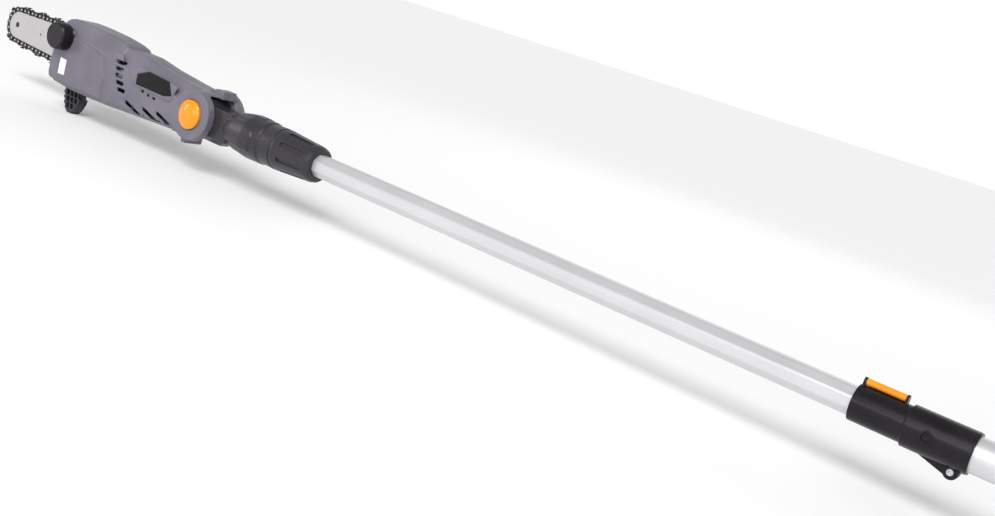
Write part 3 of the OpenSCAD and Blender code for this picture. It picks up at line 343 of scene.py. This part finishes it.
def surface_bump(n, link, height, strength, depth, normal=None):
    bump = n.new("ShaderNodeBump")
    bump.inputs["Strength"].default_value, bump.inputs["Distance"].default_value = strength, depth
    link(height, bump.inputs["Height"])
    if normal is not None:
        link(normal, bump.inputs["Normal"])
    return bump.outputs[0]


def plastic(name, deep, light, rub, rough, grain=1500.0, depth=0.00006, rub_amount=0.35,
            dust=0.12, coat=0.0, specular=0.5):
    """Moulded plastic: two close tones, mould grain, rubbed corners, a little dust."""
    mat, n, link, skin = new_material(name)
    mould = add_group(n, "moulding_grain", Grain_Scale=grain)
    rubbed = add_group(n, "edge_rub", Amount=rub_amount)
    film = add_group(n, "garden_dust", Amount=dust)
    marks = add_group(n, "handling_marks", Roughness=rough)
    colour = tone_ramp(n, link, mould.outputs["Tone"], [(0.3, deep), (0.7, light)])
    colour = mix_colour(n, link, rubbed.outputs["Mask"], colour, rub)
    colour = mix_colour(n, link, film.outputs["Mask"], colour, DRY_DUST)
    link(colour, skin.inputs["Base Color"])
    link(marks.outputs["Roughness"], skin.inputs["Roughness"])
    skin.inputs["Coat Weight"].default_value = coat
    skin.inputs["Coat Roughness"].default_value = 0.08
    skin.inputs["Specular IOR Level"].default_value = specular
    link(surface_bump(n, link, mould.outputs["Height"], 0.5, depth, rubbed.outputs["Normal"]),
         skin.inputs["Normal"])
    return mat


def metal(name, deep, light, rough, lines=(6.0, 1400.0, 1400.0), rub=(0.75, 0.75, 0.75),
          rub_amount=0.3, spread=0.1, metallic=1.0):
    """Worked metal: draw or grinding lines in tone and height, bright rubbed corners."""
    mat, n, link, skin = new_material(name)
    drawn = add_group(n, "draw_lines", Stretch=lines)
    rubbed = add_group(n, "edge_rub", Amount=rub_amount)
    film = add_group(n, "garden_dust", Amount=0.05)
    marks = add_group(n, "handling_marks", Roughness=rough, Spread=spread)
    colour = tone_ramp(n, link, drawn.outputs["Tone"], [(0.3, deep), (0.7, light)])
    colour = mix_colour(n, link, rubbed.outputs["Mask"], colour, rub)
    colour = mix_colour(n, link, film.outputs["Mask"], colour, DRY_DUST)
    link(colour, skin.inputs["Base Color"])
    link(marks.outputs["Roughness"], skin.inputs["Roughness"])
    skin.inputs["Metallic"].default_value = metallic
    link(surface_bump(n, link, drawn.outputs["Height"], 0.35, 0.00002, rubbed.outputs["Normal"]),
         skin.inputs["Normal"])
    return mat


def foam_material():
    """Closed-cell foam: open skin pores, pressed patches and a chalky bloom."""
    mat, n, link, skin = new_material("foam_skin")
    place = own_place(n.new)
    cells = n.new("ShaderNodeTexVoronoi")
    cells.feature = "SMOOTH_F1"
    link(place, cells.inputs["Vector"])
    cells.inputs["Scale"].default_value = 900
    worn = noise_at(n.new, link, place, 35.0, 5.0, 0.65)
    colour = tone_ramp(n, link, worn, [(0.35, (0.012, 0.012, 0.013)), (0.7, (0.03, 0.03, 0.032))])
    film = add_group(n, "garden_dust", Amount=0.2)
    colour = mix_colour(n, link, film.outputs["Mask"], colour, (0.2, 0.19, 0.17))
    link(colour, skin.inputs["Base Color"])
    skin.inputs["Roughness"].default_value = 0.85
    skin.inputs["Sheen Weight"].default_value = 0.25
    skin.inputs["Sheen Roughness"].default_value = 0.5
    link(surface_bump(n, link, cells.outputs["Distance"], 0.8, 0.0005), skin.inputs["Normal"])
    return mat


def milky_material(name, deep, light, through, rough):
    """Milky blow moulding that lets a little light through."""
    mat, n, link, skin = new_material(name)
    mould = add_group(n, "moulding_grain", Grain_Scale=700.0, Tone_Scale=60.0)
    colour = tone_ramp(n, link, mould.outputs["Tone"], [(0.3, deep), (0.7, light)])
    link(colour, skin.inputs["Base Color"])
    marks = add_group(n, "handling_marks", Roughness=rough)
    link(marks.outputs["Roughness"], skin.inputs["Roughness"])
    skin.inputs["Subsurface Weight"].default_value = through
    skin.inputs["Subsurface Radius"].default_value = (0.004, 0.004, 0.004)
    link(surface_bump(n, link, mould.outputs["Height"], 0.2, 0.00005), skin.inputs["Normal"])
    return mat


finishes = {
    "housing_grey": plastic("housing_grey_plastic", (0.115, 0.108, 0.136), (0.15, 0.142, 0.174),
                            (0.3, 0.29, 0.33), 0.4, dust=0.04, specular=0.4),
    "dark_plastic": plastic("dark_grey_plastic", (0.022, 0.02, 0.025), (0.035, 0.032, 0.039),
                            (0.13, 0.125, 0.145), 0.28, dust=0.012, specular=0.35),
    "black_plastic": plastic("black_satin_plastic", (0.007, 0.0055, 0.008), (0.014, 0.011, 0.015),
                             (0.08, 0.075, 0.085), 0.26, dust=0.006, specular=0.22),
    "gloss_black": plastic("gloss_plate_plastic", (0.006, 0.006, 0.007), (0.012, 0.012, 0.014),
                           (0.06, 0.06, 0.065), 0.3, depth=0.00001, dust=0.004, specular=0.12),
    "orange": plastic("orange_gloss_plastic", (0.8, 0.22, 0.0), (0.92, 0.32, 0.001),
                      (1.0, 0.52, 0.08), 0.16, grain=900.0, depth=0.00001, coat=0.25, dust=0.01,
                      rub_amount=0.1, specular=0.4),
    "aluminium_tube": metal("drawn_aluminium", (0.56, 0.56, 0.58), (0.66, 0.66, 0.675), 0.34,
                            metallic=0.5, rub=(0.92, 0.92, 0.92)),
    "bar_steel": metal("ground_bar_steel", (0.44, 0.42, 0.435), (0.54, 0.52, 0.535), 0.42,
                       lines=(900.0, 900.0, 30.0), metallic=0.8),
    "chain_steel": metal("oiled_chain_steel", (0.018, 0.018, 0.02), (0.05, 0.05, 0.053), 0.38,
                         lines=(300.0, 300.0, 300.0), rub=(0.28, 0.28, 0.28), rub_amount=0.6,
                         metallic=0.8, spread=0.25),
    "bright_steel": metal("zinc_plated_steel", (0.52, 0.52, 0.53), (0.66, 0.66, 0.67), 0.3,
                          lines=(500.0, 500.0, 500.0)),
    "motor_steel": metal("motor_can_steel", (0.12, 0.12, 0.13), (0.2, 0.2, 0.21), 0.4,
                         lines=(20.0, 700.0, 700.0), metallic=0.8),
    "gear_brass": metal("plain_brass", (0.62, 0.44, 0.16), (0.76, 0.57, 0.25), 0.3,
                        lines=(400.0, 400.0, 400.0), rub=(0.9, 0.75, 0.4)),
    "tank_plastic": milky_material("milky_tank", (0.62, 0.63, 0.58), (0.72, 0.73, 0.68), 0.3, 0.35),
    "window_plastic": milky_material("milky_window", (0.72, 0.72, 0.74), (0.86, 0.86, 0.88),
                                     0.4, 0.2),
    "seal_rubber": plastic("seal_rubber", (0.012, 0.012, 0.012), (0.02, 0.02, 0.02),
                           (0.06, 0.06, 0.06), 0.7),
    "foam": foam_material(),
}
for part in frame["record"]["subparts"]:
    mesh = nodes[part["node"]].data
    mesh.materials.clear()
    mesh.materials.append(finishes[part["material_slot"]])
slot_of = {part["node"]: part["material_slot"] for part in frame["record"]["subparts"]}


# ---------------------------------------------------------------- moulded pieces

def moulded(name, from_nodes, body, voxel, passes):
    """Rounds a packed shell as a mould would: the same walls and openings, with soft edges."""
    bm = bmesh.new()
    for source in from_nodes:
        bm.from_mesh(nodes[source].data)
    bmesh.ops.remove_doubles(bm, verts=bm.verts, dist=1e-6)
    mesh = bpy.data.meshes.new(name)
    bm.to_mesh(mesh)
    bm.free()
    piece = bpy.data.objects.new(name, mesh)
    scene.collection.objects.link(piece)
    mesh.materials.clear()
    mesh.materials.append(finishes[slot_of[from_nodes[0]]])
    fill = piece.modifiers.new("walls", "REMESH")
    fill.mode, fill.voxel_size, fill.use_smooth_shade = "VOXEL", voxel, True
    soften = piece.modifiers.new("soft_edges", "SMOOTH")
    soften.factor, soften.iterations = 0.5, passes
    graph = bpy.context.evaluated_depsgraph_get()
    done = bpy.data.meshes.new_from_object(piece.evaluated_get(graph))
    piece.modifiers.clear()
    piece.data = done
    for face in done.polygons:
        face.use_smooth = True
    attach(piece, body)
    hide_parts(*from_nodes)
    return piece


def open_button_well(shell):
    """Keeps the well of the tilt button round and deep enough for the button's whole travel."""
    lo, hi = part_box("tilt_button")
    radius = (hi.x - lo.x) / 2
    well_depth, play, wall_reach, floor_reach = 0.017, 0.0003, 0.001, 0.0012
    floor_y = lo.y + well_depth
    for v in shell.data.vertices:
        out = Vector((v.co.x - (lo.x + hi.x) / 2, 0, v.co.z - (lo.z + hi.z) / 2))
        if v.co.y > floor_y or out.length > radius + play:
            continue
        if out.length > radius - wall_reach:
            v.co += out.normalized() * (radius + play - out.length)
        elif v.co.y > floor_y - floor_reach:
            v.co.y = floor_y


def ring_tube(name, rings, sides, material):
    """Closed skin through rings of (x, radius) round the pole axis, from bore to bore."""
    axis_z = (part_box("lower_pole")[0].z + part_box("lower_pole")[1].z) / 2
    bm = bmesh.new()
    loops = []
    for x, radius in rings:
        loops.append([bm.verts.new((x, radius * math.cos(a), axis_z + radius * math.sin(a)))
                      for a in (2 * math.pi * i / sides for i in range(sides))])
    for here, there in zip(loops, loops[1:] + loops[:1]):
        for i in range(sides):
            bm.faces.new((here[i], here[(i + 1) % sides], there[(i + 1) % sides], there[i]))
    bmesh.ops.recalc_face_normals(bm, faces=bm.faces)
    mesh = bpy.data.meshes.new(name)
    bm.to_mesh(mesh)
    bm.free()
    mesh.materials.append(material)
    for face in mesh.polygons:
        face.use_smooth = True
    piece = bpy.data.objects.new(name, mesh)
    scene.collection.objects.link(piece)
    return piece


def foam_sleeve():
    """Foam hand sleeve: rounded lips, shallow finger waves and a slightly uneven skin."""
    lo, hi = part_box("foam_grip")
    tube_lo, tube_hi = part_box("lower_pole")
    bore = (tube_hi.y - tube_lo.y) / 2 + 0.0001
    outer = (hi.y - lo.y) / 2
    wall = outer - bore
    lip, lip_steps, thin_edge = 0.004, 6, 0.0006
    wave_depth, wave_steps, body_steps = 0.0009, 24, 120

    def lip_ring(end_x, inward, step):
        a = math.pi / 2 * step / lip_steps
        rise = (wall - thin_edge) * (1 - math.cos(a)) * 0.9
        return end_x + inward * lip * (1 - math.sin(a)), bore + thin_edge + rise

    length = hi.x - lo.x - 2 * lip
    rings = [(lo.x + lip, bore)]
    rings += [lip_ring(lo.x, 1, i) for i in range(lip_steps + 1)]
    for i in range(1, body_steps):
        wave = 0.5 - 0.5 * math.cos(2 * math.pi * i / wave_steps)
        rings.append((lo.x + lip + length * i / body_steps, outer - wave_depth * wave))
    rings += [lip_ring(hi.x, -1, lip_steps - i) for i in range(lip_steps + 1)]
    rings.append((hi.x - lip, bore))
    sleeve = ring_tube("foam_sleeve", rings, 72, finishes["foam"])
    axis_z = (tube_lo.z + tube_hi.z) / 2
    sink, lumps = 0.0004, 60
    for v in sleeve.data.vertices:
        out = Vector((0, v.co.y, v.co.z - axis_z))
        if out.length > bore + wall * 0.8:
            v.co -= out.normalized() * sink * (0.5 + 0.5 * noise.noise(v.co * lumps))
    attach(sleeve, "lower_pole")
    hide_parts("foam_grip")


camera_on_the_tool()
studio()
foam_sleeve()
near_shell = moulded("housing_shell_near", ["head_shell_near"], "saw_head", 0.00096, 6)
open_button_well(near_shell)
moulded("housing_shell_far", ["head_shell_far"], "saw_head", 0.0009, 6)
moulded("chain_cover", ["sprocket_cover"], "saw_head", 0.0009, 6)
moulded("hook_moulding", ["branch_hook"], "saw_head", 0.0006, 4)
moulded("connector_half_near", ["connector_near"], "upper_pole", 0.0008, 8)
moulded("connector_half_far", ["connector_far"], "upper_pole", 0.0008, 8)
moulded("handle_moulding", ["handle_near", "handle_far"], "lower_pole", 0.0012, 10)
moulded("battery_case", ["battery_pack"], "battery", 0.001, 8)
moulded("trigger_blade", ["trigger"], "trigger", 0.0005, 6)
moulded("lever_moulding", ["clamp_lever"], "clamp_lever", 0.0005, 3)
